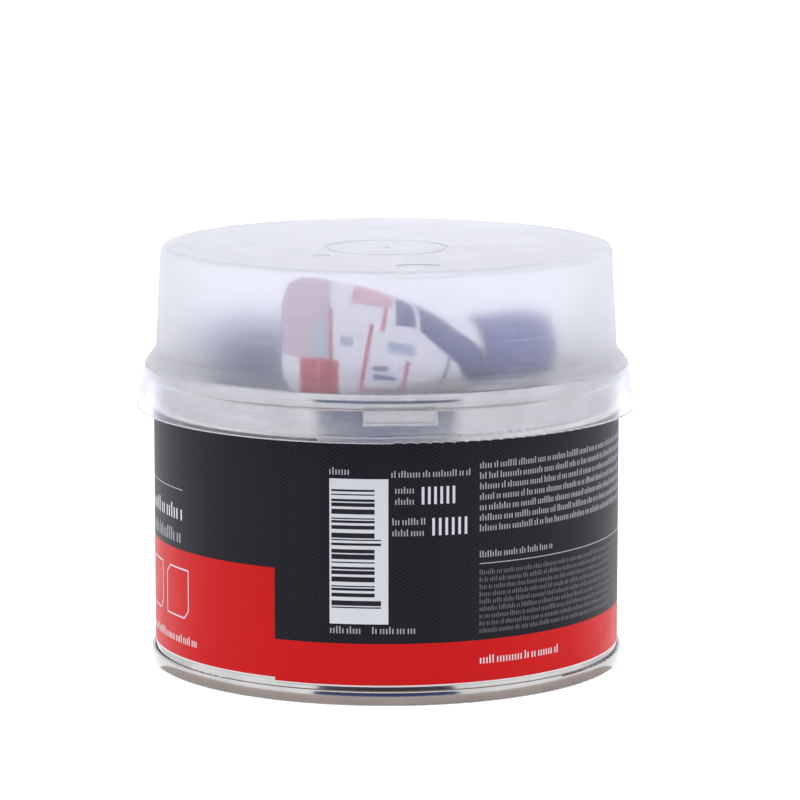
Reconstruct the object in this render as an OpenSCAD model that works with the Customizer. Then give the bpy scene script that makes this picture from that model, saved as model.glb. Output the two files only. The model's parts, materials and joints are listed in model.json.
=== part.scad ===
// Tin of polyester filler: a seamed tinplate tin with a lever lid, a paper label, and a frosted
// overcap that clips on and holds two tubes of hardener. The base centre is the origin, +Z is up,
// and -Y is the front. Millimetres.

/* [Tin wall] */
// Outside diameter of the tin's wall
tin_d = 99.2; // [92:0.2:108]
// Height of the tin over both seams
tin_h = 64.6; // [56:0.2:80]
// Thickness of the wall's tinplate
wall_t = 0.2; // [0.16:0.01:0.26]
// Thickness of the tinplate of the base, the mouth ring and the lid
end_t = 0.25; // [0.2:0.01:0.3]
// Width of the side weld, inside the wall at the back
weld_w = 0.8; // [0.5:0.1:1.2]
// How far the side weld stands in from the wall
weld_t = 0.1; // [0.05:0.01:0.15]

/* [Double seams] */
// Height of a double seam
seam_h = 3.2; // [2.9:0.05:3.6]
// Gap between the folded layers of a seam
layer_gap = 0.07; // [0.05:0.01:0.1]
// Outside radius of the two corners at a seam's foot
foot_r = 0.45; // [0.4:0.05:0.6]
// Length of the straight part of the wall's hook
body_hook_l = 1.5; // [1.2:0.05:1.7]
// Length of the straight part of the end's hook
cover_hook_l = 1.5; // [1.2:0.05:1.7]
// Height of the ring of sealing compound in a seam's fold
compound_h = 0.35; // [0.2:0.05:0.4]

/* [Base end] */
// Depth of the base panel above the seam's foot
base_depth = 3.6; // [3.4:0.1:5]
// Outside radius of the bends in the pressed sheet
bend_r = 0.8; // [0.6:0.1:1.2]
// Number of pressed rings in the base
base_beads = 3; // [1:1:4]
// Radius of the outermost pressed ring
base_bead_r = 42; // [38:0.5:43]
// Spacing of the pressed rings
base_bead_pitch = 6.5; // [5:0.5:9]
// Radius of a pressed ring's arc
bead_arc_r = 3; // [2:0.1:4]
// Height of a pressed ring
bead_h = 0.7; // [0.4:0.05:1]

/* [Mouth and lever lid] */
// Inside diameter of the mouth
mouth_d = 82; // [74:0.5:84]
// Depth of the mouth ring below the top of the seam
ring_depth = 3.2; // [3:0.1:4.5]
// Height of the mouth's throat, with the ring's thickness
throat_h = 4.4; // [4:0.1:6]
// Outside radius of the curled edge under the throat
throat_curl_r = 0.6; // [0.5:0.05:0.8]
// Radial gap between the lid's plug and the throat
plug_fit = 0.05; // [0.03:0.01:0.08]
// Width of the lid's flange outside the plug
flange_w = 3.3; // [2.8:0.1:4]
// Outside radius of the lid's curled edge
lid_curl_r = 0.6; // [0.5:0.05:0.8]
// Gap between the lid's curled edge and the mouth ring
lid_gap = 0.1; // [0.05:0.05:0.3]
// Depth of the lid's floor below its flange
lid_depth = 4.9; // [4.2:0.1:6]
// Radius of the pressed ring in the lid's floor
lid_bead_r = 33; // [24:0.5:34]

/* [Filler] */
// Free height between the filler's edge and the throat
headspace = 5; // [4.5:0.5:15]
// Height of the filler's dome
fill_dome = 0.5; // [0.3:0.1:1]
// Gap round the filler
fill_gap = 0.3; // [0.2:0.05:0.5]

/* [Label] */
// Height of the label's lower edge above the base seam
label_foot = 0.7; // [0.3:0.1:2]
// Height of the label
label_h = 50.6; // [40:0.2:52]
// Thickness of the label
label_t = 0.1; // [0.08:0.01:0.15]
// Gap between the label and the wall
label_gap = 0.05; // [0.04:0.01:0.08]
// Angle of the label's outer edge, from the front
lap_edge = -27.3; // [-60:0.1:60]
// Width of the label's lap
lap_w = 9.5; // [6:0.5:15]

/* [Overcap] */
// Thickness of the overcap
cap_wall = 0.75; // [0.6:0.05:0.9]
// Radius of the rounded edge of the roof
roof_edge_r = 1.5; // [1.2:0.1:2.5]
// How much the wall's radius shrinks from shoulder to roof
wall_taper = 1.1; // [0.6:0.1:1.6]
// How far the shoulder steps in from the skirt
shoulder_step = 2.4; // [2:0.1:2.6]
// Height of the sloping shoulder
shoulder_h = 3.1; // [2.6:0.1:3.6]
// Height of the skirt below the top of the tin
skirt_h = 9.3; // [8:0.1:12]
// How much the skirt's radius grows towards its lip
skirt_flare = 1.8; // [1.2:0.1:2.2]
// Gap between the skirt and the seam
skirt_gap = 0.35; // [0.25:0.05:0.45]
// Gap between the overcap's shoulder and the corner of the seam that it sits on
seat_gap = 0.1; // [0.08:0.01:0.2]
// Number of snap lugs
lug_count = 3; // [2:1:4]
// Angle of the first snap lug, from the front
lug_turn = 3.2; // [-30:0.1:30]
// Width of a snap lug
lug_w = 15.5; // [10:0.5:20]
// Height of a snap lug
lug_h = 3.1; // [2:0.1:4]
// Gap between a snap lug and the seam's edge
lug_gap = 0.1; // [0.08:0.01:0.2]
// Depth of the roof's hollow at its middle
dish_h = 1; // [0.6:0.1:1.5]
// Width of the roof's flat rim, between the hollow and the rounded edge
rim_w = 2.6; // [2:0.1:5]
// Radius of the moulding ring on the roof
gate_ring_r = 12.8; // [8:0.2:16]
// Depth of the moulding marks on the roof
gate_depth = 0.2; // [0.1:0.05:0.3]
// Width of the moulding ring, and radius of the gate's dimple
gate_w = 0.8; // [0.5:0.1:1.5]
// Diameter of the round insert mark near the front of the roof
insert_d = 9.5; // [6:0.5:12]
// Place of the insert mark, to the right and behind the middle
insert_at = [6.4, -36.3]; // [-38:0.1:38]
// Diameter of the mark of an ejector pin
pin_d = 3.8; // [2:0.2:6]
// Place of the pin's mark, to the right and behind the middle
pin_at = [-13.6, -15]; // [-30:0.1:30]

/* [Hardener tubes] */
// Diameter of a tube
tube_d = 16; // [13.5:0.5:17]
// Length of a tube's body, from its shoulder to its folded end
tube_l = 40; // [36:0.5:44]
// Thickness of a tube's wall
tube_t = 0.25; // [0.2:0.05:0.35]
// Length of the body that stays round
tube_round_l = 6; // [4:0.5:10]
// Length of the shoulder
tube_shoulder_l = 2.5; // [2:0.1:3.5]
// Diameter of the threaded neck
neck_d = 9; // [8:0.5:10]
// Width of the shoulder's flat rim round the neck
neck_rim = 0.8; // [0.5:0.1:1.2]
// Length of the neck
neck_l = 7; // [5:0.5:9]
// Diameter of the nozzle's bore
nozzle_d = 4; // [3:0.5:5]
// Length of the fold that closes a tube
fold_l = 4.5; // [3:0.5:6]
// Thickness of the fold
fold_t = 1.4; // [1.2:0.1:1.8]
// Length and width of the fold's two rounded corners
fold_corner = [4, 7]; // [1:0.5:8]
// Thickness of the flattened tube just before its fold
flat_t = 0.9; // [0.9:0.05:1.1]
// How soon a tube flattens behind its round part: 1 is evenly, and 2 is sooner
flat_power = 1.8; // [1:0.1:3]
// Gap between a tube and its filling
paste_gap = 0.1; // [0.08:0.01:0.15]
// Gap between a tube and what it lies on
rest_gap = 0.3; // [0.2:0.05:0.5]
// Gap between the front tube and the overcap's wall
side_gap = 1.55; // [0.4:0.05:2]
// Gap between the front tube's fold and the roof
roof_gap = 1.25; // [0.5:0.05:2]
// Angle of the front tube's straight end, from the front
front_turn = 35; // [28:1:40]
// Gap between the rear tube's cap and the lid's plug
rear_gap = 3; // [2:0.5:6]
// How far the rear tube lies behind the middle
rear_y = 2; // [0:0.5:6]

/* [Tube caps] */
// Diameter of a tube's cap
tube_cap_d = 14.6; // [12:0.2:15.4]
// Length of a tube's cap
tube_cap_l = 17; // [12:0.5:18]
// Radius of the cap's rounded edge
tube_cap_edge = 1.2; // [0.8:0.1:1.6]
// Gap between a tube's cap and its shoulder
cap_seat_gap = 0.3; // [0.2:0.05:0.5]
// Radial gap between a cap's thread and the neck
thread_fit = 0.06; // [0.04:0.01:0.1]
// Number of grip flutes round a cap
flutes = 24; // [16:2:30]
// Radius of a grip flute
flute_r = 0.5; // [0.3:0.05:0.6]

/* [Hidden] */
$fn = 128;
// How far a cut runs past the face that it opens
cut = 1;

// Radii of the folded layers of a double seam, from the inside out
wall_out = tin_d / 2;
wall_in = wall_out - wall_t;
chuck_out = wall_in - layer_gap;
chuck_in = chuck_out - end_t;
cover_in = wall_out + layer_gap;
cover_out = cover_in + end_t;
body_hook_in = cover_out + layer_gap;
body_hook_out = body_hook_in + wall_t;
face_in = body_hook_out + layer_gap;
seam_r = face_in + end_t;
// Turns of the two hooks: outside radius, middle radius and height above the seam's foot
body_turn_r = (body_hook_out - wall_in) / 2;
body_turn_mid = (body_hook_out + wall_in) / 2;
body_turn_z = end_t + layer_gap + body_turn_r;
cover_turn_r = (seam_r - cover_in) / 2;
cover_turn_mid = (seam_r + cover_in) / 2;
cover_turn_z = seam_h - cover_turn_r;

// Half the width of a pressed ring, where its arc meets the panel
bead_half = sqrt(pow(bead_arc_r, 2) - pow(bead_arc_r - bead_h, 2));
base_bead_list = [for (i = [0 : base_beads - 1]) base_bead_r - i * base_bead_pitch];

// Heights of the mouth ring and the lid
mouth_r = mouth_d / 2;
ring_low = tin_h - ring_depth - end_t;
ring_top = ring_low + end_t;
throat_low = ring_top - throat_h;
plug_out = mouth_r - plug_fit;
plug_in = plug_out - end_t;
lid_edge_r = plug_out + flange_w;
lid_top = ring_top + lid_gap + 2 * lid_curl_r;
floor_top = lid_top - lid_depth;
fill_edge_z = throat_low - throat_curl_r - headspace;
fill_r = wall_in - weld_t - fill_gap;
fill_low = base_depth + bead_h + fill_gap;

// The label
label_in = wall_out + label_gap;
label_low = seam_h + label_foot;
lap_angle = lap_w / label_in * 180 / PI;

// A tube's section is a slot: half its thickness a, and half its straight side, which keep
// the tube's girth as it flattens
tube_r = tube_d / 2;
function side_half(a) = PI / 2 * (tube_r - a);
function slot_h(a) = 2 * (side_half(a) + a);
fold_h = slot_h(fold_t / 2);
tube_end = -tube_shoulder_l - cap_seat_gap - tube_cap_l;
flat_from = tube_l - fold_l;
neck_base_r = neck_d / 2 + neck_rim;
// How much of a tube's roundness is left at a place along it: 1 where it is round, 0 at its fold
function round_share(s) = pow((flat_from - min(s, flat_from)) / (flat_from - tube_round_l), flat_power);

// The overcap, from the seam and the tubes that it holds
skirt_out = seam_r + skirt_gap + cap_wall;
lip_out = skirt_out + skirt_flare;
lip_z = tin_h - skirt_h;
foot_out = skirt_out - shoulder_step;
roof_out = foot_out - wall_taper;
// The shoulder slopes past the seam's upper corner, clear of it by its gap and its thickness
shoulder_across = [shoulder_h, shoulder_step] / norm([shoulder_h, shoulder_step]);
shoulder_clear = foot_r + seat_gap + cap_wall - shoulder_across[0] * (skirt_out - seam_r + foot_r);
shoulder_low = tin_h - foot_r + shoulder_clear / shoulder_across[1];
shoulder_z = shoulder_low + shoulder_h;
front_low = lid_top + rest_gap;
roof_in_z = front_low + fold_h + roof_gap;
roof_z = roof_in_z + cap_wall;
// Corners of the overcap's outside below the roof, and those of its inside
outer_corners = [[lip_out, lip_z], [skirt_out, shoulder_low], [foot_out, shoulder_z],
    [roof_out, roof_z - roof_edge_r]];
function side_across(a, b) = [b[1] - a[1], a[0] - b[0]] / norm(b - a);
function inner_corner(i) =
    let (m = side_across(outer_corners[i - 1], outer_corners[i]),
         n = side_across(outer_corners[i], outer_corners[i + 1]))
    outer_corners[i] - cap_wall * (m + n) / (1 + m * n);
lip_in = lip_out - cap_wall;
inner_corners = [[lip_in, lip_z], inner_corner(1), inner_corner(2),
    [roof_out - cap_wall, roof_in_z - roof_edge_r + cap_wall]];
// Middle radius of the skirt's wall at a height
function skirt_at(z) = lip_out - cap_wall / 2 - skirt_flare * (z - lip_z) / (shoulder_low - lip_z);
// The roof's hollow is part of a large sphere
dish_r = roof_out - roof_edge_r - rim_w;
dish_sphere = (pow(dish_r, 2) + pow(dish_h, 2)) / (2 * dish_h);
function dish_drop(r) = sqrt(pow(dish_sphere, 2) - pow(r, 2)) - (dish_sphere - dish_h);

// Front tube: its cap, shoulder and round part lie along a chord, and the rest of the body
// follows the overcap's wall as it flattens
reach = roof_out - cap_wall - side_gap;
chord_half = (tube_round_l - tube_end) / 2;
chord_r = sqrt(pow(reach, 2) - pow(chord_half, 2)) - tube_r;
curve_r = norm([chord_r, chord_half]);
curve_turn = front_turn - atan(chord_half / chord_r);
fold_r = reach - fold_t / 2;
function polar(r, turn) = [r * sin(turn), -r * cos(turn)];
function chord_point(u) = polar(chord_r, front_turn) + u * [cos(front_turn), sin(front_turn)];
function curve_point(s) = polar(fold_r + (curve_r - fold_r) * round_share(s),
    curve_turn - (s - tube_round_l) / fold_r * 180 / PI);
function front_point(s) = s <= tube_round_l
    ? chord_point(tube_round_l - chord_half - s)
    : curve_point(s);
// Unit vector across the front tube, towards the overcap's wall
function front_across(s) =
    let (d = front_point(s + 0.1) - front_point(s - 0.1), l = norm(d))
    [-d[1] / l, d[0] / l];

// Rear tube: straight along X in the lid's dish, with its cap to the left
rear_low = floor_top + rest_gap;
rear_x = -(plug_in - rear_gap) - tube_end;

// Places along a tube, from its shoulder at 0 towards its fold, and half its thickness there
body_steps = 12;
step_gap = 0.3;
function half_at(s) =
    s < 0 ? tube_r + (tube_r - neck_base_r) * s / tube_shoulder_l
    : s <= tube_round_l ? tube_r
    : s < flat_from ? flat_t / 2 + (tube_r - flat_t / 2) * round_share(s)
    : fold_t / 2;
body_places = [for (i = [0 : body_steps])
    tube_round_l + i * (flat_from - step_gap - tube_round_l) / body_steps];
corner_steps = 4;
corner_l = min(fold_corner[0], fold_l - step_gap);
corner_places = [for (i = [0 : corner_steps]) tube_l - corner_l * (1 - sin(90 * i / corner_steps))];
skin_places = concat([-tube_shoulder_l, 0], body_places, [flat_from], corner_places);
function inner_places(inset) = concat([-tube_shoulder_l + 2 * inset, 0],
    [for (s = body_places) if (half_at(s) > 2.5 * inset) s]);

// One quarter of a bend in pressed sheet, turned by quarter turns
module bend(r, z, outside, t, quarter) {
    translate([r, z]) rotate(90 * quarter) intersection() {
        difference() {
            circle(outside, $fn = 32);
            circle(outside - t, $fn = 32);
        }
        square(outside);
    }
}

// A straight piece of a sheet's profile, from corner to corner
module strip(r0, z0, r1, z1) {
    translate([min(r0, r1), min(z0, z1)]) square([abs(r1 - r0), abs(z1 - z0)]);
}

// A flat panel from the axis to a radius, with rings pressed up to one side
module beaded_panel(radius, z, rings, up) {
    middle = z + end_t / 2;
    difference() {
        strip(0, z, radius, z + end_t);
        for (r = rings) strip(r - bead_half, z - end_t, r + bead_half, z + 2 * end_t);
    }
    for (r = rings) intersection() {
        translate([r, middle - up * (bead_arc_r - bead_h)]) difference() {
            circle(bead_arc_r + end_t / 2);
            circle(bead_arc_r - end_t / 2);
        }
        translate([r - bead_half, up > 0 ? z : z + end_t - bead_arc_r])
            square([2 * bead_half, bead_arc_r]);
    }
}

// The part of an end that is folded round the wall's hook, with the seam's foot at zero
module end_fold(chuck_h) {
    strip(chuck_in, foot_r, chuck_out, chuck_h);
    bend(chuck_in + foot_r, foot_r, foot_r, end_t, 2);
    strip(chuck_in + foot_r, 0, seam_r - foot_r, end_t);
    bend(seam_r - foot_r, foot_r, foot_r, end_t, 3);
    strip(face_in, foot_r, seam_r, cover_turn_z);
    bend(cover_turn_mid, cover_turn_z, cover_turn_r, end_t, 0);
    bend(cover_turn_mid, cover_turn_z, cover_turn_r, end_t, 1);
    strip(cover_in, cover_turn_z - cover_hook_l, cover_out, cover_turn_z);
}

// The wall's hook, which the end grips
module wall_hook() {
    bend(body_turn_mid, body_turn_z, body_turn_r, wall_t, 2);
    bend(body_turn_mid, body_turn_z, body_turn_r, wall_t, 3);
    strip(body_hook_in, body_turn_z, body_hook_out, body_turn_z + body_hook_l);
}

// The bead of sealing compound above the wall's hook, in the end's fold
module compound_profile() {
    low = body_turn_z + body_hook_l + layer_gap;
    strip(body_hook_in, low, body_hook_out, low + compound_h);
}

// Turns a profile that is drawn from the seam's foot over, to the top of the tin
module at_top() {
    translate([0, tin_h]) mirror([0, 1]) children();
}

module can_body() {
    color("silver") union() {
        rotate_extrude() {
            strip(wall_in, body_turn_z, wall_out, tin_h - body_turn_z);
            wall_hook();
            at_top() wall_hook();
        }
        translate([-weld_w / 2, wall_in - weld_t, base_depth + weld_w])
            cube([weld_w, weld_t + wall_t / 2, ring_low - base_depth - 2 * weld_w]);
    }
}

module base_end() {
    color("lightgray") rotate_extrude() {
        end_fold(base_depth - bend_r);
        bend(chuck_out - bend_r, base_depth - bend_r, bend_r, end_t, 0);
        beaded_panel(chuck_out - bend_r, base_depth - end_t, base_bead_list, 1);
    }
}

module top_ring() {
    color("lightgray") rotate_extrude() {
        at_top() end_fold(tin_h - ring_low - bend_r);
        bend(chuck_out - bend_r, ring_low + bend_r, bend_r, end_t, 3);
        strip(mouth_r + bend_r, ring_low, chuck_out - bend_r, ring_top);
        bend(mouth_r + bend_r, ring_top - bend_r, bend_r, end_t, 1);
        strip(mouth_r, throat_low, mouth_r + end_t, ring_top - bend_r);
        bend(mouth_r + throat_curl_r, throat_low, throat_curl_r, end_t, 2);
        bend(mouth_r + throat_curl_r, throat_low, throat_curl_r, end_t, 3);
    }
}

module base_seam_compound() {
    color("dimgray") rotate_extrude() compound_profile();
}

module top_seam_compound() {
    color("dimgray") rotate_extrude() at_top() compound_profile();
}

module lever_lid() {
    curl_mid = lid_edge_r - lid_curl_r;
    color("gainsboro") rotate_extrude() {
        beaded_panel(plug_out - bend_r, floor_top - end_t, [lid_bead_r], -1);
        bend(plug_out - bend_r, floor_top - end_t + bend_r, bend_r, end_t, 3);
        strip(plug_in, floor_top - end_t + bend_r, plug_out, lid_top - bend_r);
        bend(plug_in + bend_r, lid_top - bend_r, bend_r, end_t, 1);
        strip(plug_in + bend_r, lid_top - end_t, curl_mid, lid_top);
        for (quarter = [0, 2, 3])
            bend(curl_mid, lid_top - lid_curl_r, lid_curl_r, end_t, quarter);
    }
}

module filler_paste() {
    dome_r = (pow(fill_r, 2) + pow(fill_dome, 2)) / (2 * fill_dome);
    color("darkkhaki") intersection() {
        translate([0, 0, fill_low]) cylinder(h = fill_edge_z - fill_low + fill_dome, r = fill_r);
        translate([0, 0, fill_edge_z + fill_dome - dome_r]) sphere(dome_r, $fn = 256);
    }
}

// A wedge between two angles from the front, to cut a ring with
module wedge(from, to, radius) {
    far = 2 * radius;
    polygon([[0, 0], polar(far, from), polar(far, (from + to) / 2), polar(far, to)]);
}

// A piece of a round tube of the given wall and height, between two angles from the front
module ring_sector(inside, outside, low, high, from, to) {
    translate([0, 0, low]) intersection() {
        difference() {
            cylinder(h = high - low, r = outside);
            translate([0, 0, -cut]) cylinder(h = high - low + 2 * cut, r = inside);
        }
        linear_extrude(high - low) wedge(from, to, outside);
    }
}

module label() {
    label_out = label_in + label_t;
    color([0.12, 0.12, 0.13]) union() {
        translate([0, 0, label_low]) difference() {
            cylinder(h = label_h, r = label_out);
            translate([0, 0, -cut]) cylinder(h = label_h + 2 * cut, r = label_in);
        }
        ring_sector(label_in + label_t / 2, label_out + label_t, label_low, label_low + label_h,
            lap_edge, lap_edge + lap_angle);
    }
}

// Half a section of the overcap's outside or inside: its side from the lip up, the rounded edge
// of its roof and the roof's hollow
module overcap_half(side, roof, top, edge) {
    difference() {
        union() {
            polygon(concat([[0, lip_z]], side, [[roof - edge, top], [0, top]]));
            translate([roof - edge, top - edge]) circle(edge);
        }
        translate([0, top - dish_h + dish_sphere]) circle(dish_sphere, $fn = 4000);
    }
}

// A round cut into the roof's hollow at a place, square to the surface there
module roof_cut(at, d) {
    r = norm(at);
    translate([at[0], at[1], roof_z - dish_drop(r)])
        rotate(a = asin(r / dish_sphere), v = [at[1], -at[0], 0])
            translate([0, 0, -gate_depth]) cylinder(h = cut, d = d);
}

module overcap() {
    // A lug lies under the seam, and its root is half buried in the skirt
    lug_top = tin_h - seam_h - lug_gap;
    lug_low = lug_top - lug_h;
    lug_angle = lug_w / skirt_at(lug_low) * 180 / PI;
    color([0.88, 0.88, 0.95, 0.5]) difference() {
        union() {
            rotate_extrude() {
                difference() {
                    overcap_half(outer_corners, roof_out, roof_z, roof_edge_r);
                    overcap_half(inner_corners, roof_out - cap_wall, roof_in_z, roof_edge_r - cap_wall);
                }
                translate([lip_out - cap_wall / 2, lip_z]) circle(cap_wall / 2);
            }
            for (i = [0 : lug_count - 1]) intersection() {
                middle = lug_turn + i * 360 / lug_count;
                rotate_extrude() polygon([[seam_r + lug_gap, lug_low], [skirt_at(lug_low), lug_low],
                    [skirt_at(lug_top), lug_top], [seam_r + lug_gap, lug_top]]);
                translate([0, 0, lug_low]) linear_extrude(lug_h)
                    wedge(middle - lug_angle / 2, middle + lug_angle / 2, lip_out);
            }
        }
        translate([0, 0, roof_z - dish_drop(gate_ring_r) - gate_depth]) difference() {
            cylinder(h = cut, r = gate_ring_r + gate_w / 2);
            translate([0, 0, -cut]) cylinder(h = 3 * cut, r = gate_ring_r - gate_w / 2);
        }
        roof_cut([0, 0], 2 * gate_w);
        roof_cut(insert_at, insert_d);
        roof_cut(pin_at, pin_d);
    }
}

// A closed skin through a list of sections, each a ring of as many points
module loft(sections) {
    rows = len(sections);
    ring = len(sections[0]);
    points = [for (section = sections) each section];
    sides = [for (row = [0 : rows - 2], i = [0 : ring - 1])
        let (a = row * ring + i, b = row * ring + (i + 1) % ring)
        each [[a, b + ring, b], [a, a + ring, b + ring]]];
    last = (rows - 1) * ring;
    first_end = [for (i = [1 : ring - 2]) [0, i, i + 1]];
    last_end = [for (i = [1 : ring - 2]) [last, last + i + 1, last + i]];
    polyhedron(points, concat(sides, first_end, last_end));
}

// Points of a slot-shaped section, half as thick as a, across thin and along wide
arc_points = 12;
function slot_points(centre, thin, wide, a, side) = [
    for (end = [1, -1], i = [0 : arc_points - 1])
        let (t = (i + 0.5) * 180 / arc_points)
        centre + end * a * cos(t) * thin + end * (side + a * sin(t)) * wide];
function side_at(s) = s <= tube_round_l ? 0 : side_half(half_at(s));
// Half the straight side with the fold's corners taken off
function cut_side(s) =
    let (share = max(0, s - tube_l + corner_l) / corner_l)
    side_at(s) - fold_corner[1] * (1 - sqrt(1 - min(1, share * share)));

// Section of the front tube, which stands on edge, taken in by inset from its skin
function front_section(s, inset) =
    let (p = front_point(s), n = front_across(s), a = half_at(s))
    slot_points([p[0], p[1], front_low + (s < 0 ? tube_r : a + side_at(s))],
        [n[0], n[1], 0], [0, 0, 1], a - inset, cut_side(s));

// Section of the rear tube, which lies flat
function rear_section(s, inset) =
    let (a = half_at(s))
    slot_points([rear_x + s, rear_y, rear_low + (s < 0 ? tube_r : a)],
        [0, 0, -1], [0, 1, 0], a - inset, cut_side(s));

// Places children that are built along +Z from the shoulder onto the front tube's straight end
module on_front() {
    p = front_point(0);
    translate([p[0], p[1], front_low + tube_r]) rotate([0, 90, front_turn]) children();
}

module on_rear() {
    translate([rear_x, rear_y, rear_low + tube_r]) rotate([0, -90, 0]) children();
}

module neck() {
    translate([0, 0, tube_shoulder_l - cut]) cylinder(h = neck_l + cut, d = neck_d);
}

module nozzle_bore() {
    translate([0, 0, -cut]) cylinder(h = tube_shoulder_l + neck_l + 2 * cut, d = nozzle_d);
}

module front_tube() {
    color("whitesmoke") difference() {
        union() {
            loft([for (s = skin_places) front_section(s, 0)]);
            on_front() neck();
        }
        loft([for (s = inner_places(tube_t)) front_section(s, tube_t)]);
        on_front() nozzle_bore();
    }
}

module rear_tube() {
    color("whitesmoke") difference() {
        union() {
            loft([for (s = skin_places) rear_section(s, 0)]);
            on_rear() neck();
        }
        loft([for (s = inner_places(tube_t)) rear_section(s, tube_t)]);
        on_rear() nozzle_bore();
    }
}

module front_tube_paste() {
    color("firebrick")
        loft([for (s = inner_places(tube_t + paste_gap)) front_section(s, tube_t + paste_gap)]);
}

module rear_tube_paste() {
    color("firebrick")
        loft([for (s = inner_places(tube_t + paste_gap)) rear_section(s, tube_t + paste_gap)]);
}

// A fluted screw cap over the neck, with the tube's shoulder at zero
module screw_cap() {
    low = tube_shoulder_l + cap_seat_gap;
    cap_r = tube_cap_d / 2;
    high = low + tube_cap_l;
    difference() {
        rotate_extrude() {
            strip(0, low, cap_r, high - tube_cap_edge);
            strip(0, high - tube_cap_edge, cap_r - tube_cap_edge, high);
            translate([cap_r - tube_cap_edge, high - tube_cap_edge]) circle(tube_cap_edge);
        }
        translate([0, 0, low - cut])
            cylinder(h = neck_l + cut, r = neck_d / 2 + thread_fit);
        for (i = [0 : flutes - 1]) rotate(i * 360 / flutes)
            translate([cap_r, 0, low - cut])
                cylinder(h = tube_cap_l - tube_cap_edge, r = flute_r, $fn = 24);
    }
}

module front_tube_cap() {
    color("midnightblue") on_front() screw_cap();
}

module rear_tube_cap() {
    color("midnightblue") on_rear() screw_cap();
}

can_body();
base_end();
top_ring();
base_seam_compound();
top_seam_compound();
lever_lid();
filler_paste();
label();
overcap();
front_tube();
front_tube_paste();
front_tube_cap();
rear_tube();
rear_tube_paste();
rear_tube_cap();
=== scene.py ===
"""Looks of a tin of polyester filler: its printed label, frosted overcap, hardener tubes and paste."""

import json
import math
import random

import bmesh
import bpy
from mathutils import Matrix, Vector, noise


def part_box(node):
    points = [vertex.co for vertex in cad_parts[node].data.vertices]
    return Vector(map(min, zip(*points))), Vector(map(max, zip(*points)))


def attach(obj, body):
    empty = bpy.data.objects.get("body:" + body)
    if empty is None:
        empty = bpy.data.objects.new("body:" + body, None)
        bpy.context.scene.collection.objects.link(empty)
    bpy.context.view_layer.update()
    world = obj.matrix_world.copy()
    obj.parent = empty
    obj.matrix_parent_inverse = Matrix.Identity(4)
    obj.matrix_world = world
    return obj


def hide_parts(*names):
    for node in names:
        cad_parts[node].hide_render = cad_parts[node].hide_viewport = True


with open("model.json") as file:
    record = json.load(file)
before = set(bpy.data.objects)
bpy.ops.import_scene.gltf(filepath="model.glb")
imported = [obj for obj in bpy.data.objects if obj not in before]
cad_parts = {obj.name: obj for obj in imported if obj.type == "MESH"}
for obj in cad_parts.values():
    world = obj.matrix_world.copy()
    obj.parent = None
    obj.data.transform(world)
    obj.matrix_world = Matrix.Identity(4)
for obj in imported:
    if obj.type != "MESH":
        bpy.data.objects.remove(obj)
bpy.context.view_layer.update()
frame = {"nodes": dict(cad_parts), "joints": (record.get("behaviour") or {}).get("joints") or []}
nodes = frame["nodes"]
joints = {joint["name"]: joint for joint in frame["joints"]}

# Lengths below are in millimetres, and MM turns them into metres
MM = 0.001


def node_box(node):
    """Lowest and highest corner of a CAD node, in millimetres."""
    low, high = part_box(node)
    return low / MM, high / MM


# Camera, at the photograph's viewing angle. The frame is 800 pixels wide and high
FRAME_PIXELS = 800
SENSOR_WIDTH = 36.0
FOCAL_PIXELS = 4238.6
AXIS_PIXEL_X = 386.4
CAMERA_PLACE = Vector((0, -896.3, 199.1))
CAMERA_PITCH = math.radians(9.104)


def make_camera():
    """A long lens, shifted sideways so that the tin stands where the photograph has it."""
    data = bpy.data.cameras.new("camera")
    data.sensor_width = SENSOR_WIDTH
    data.lens = SENSOR_WIDTH * FOCAL_PIXELS / FRAME_PIXELS
    data.shift_x = 0.5 - AXIS_PIXEL_X / FRAME_PIXELS
    camera = bpy.data.objects.new("camera", data)
    camera.location = CAMERA_PLACE * MM
    camera.rotation_euler = (math.pi / 2 - CAMERA_PITCH, 0, 0)
    bpy.context.scene.collection.objects.link(camera)
    bpy.context.scene.camera = camera


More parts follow.
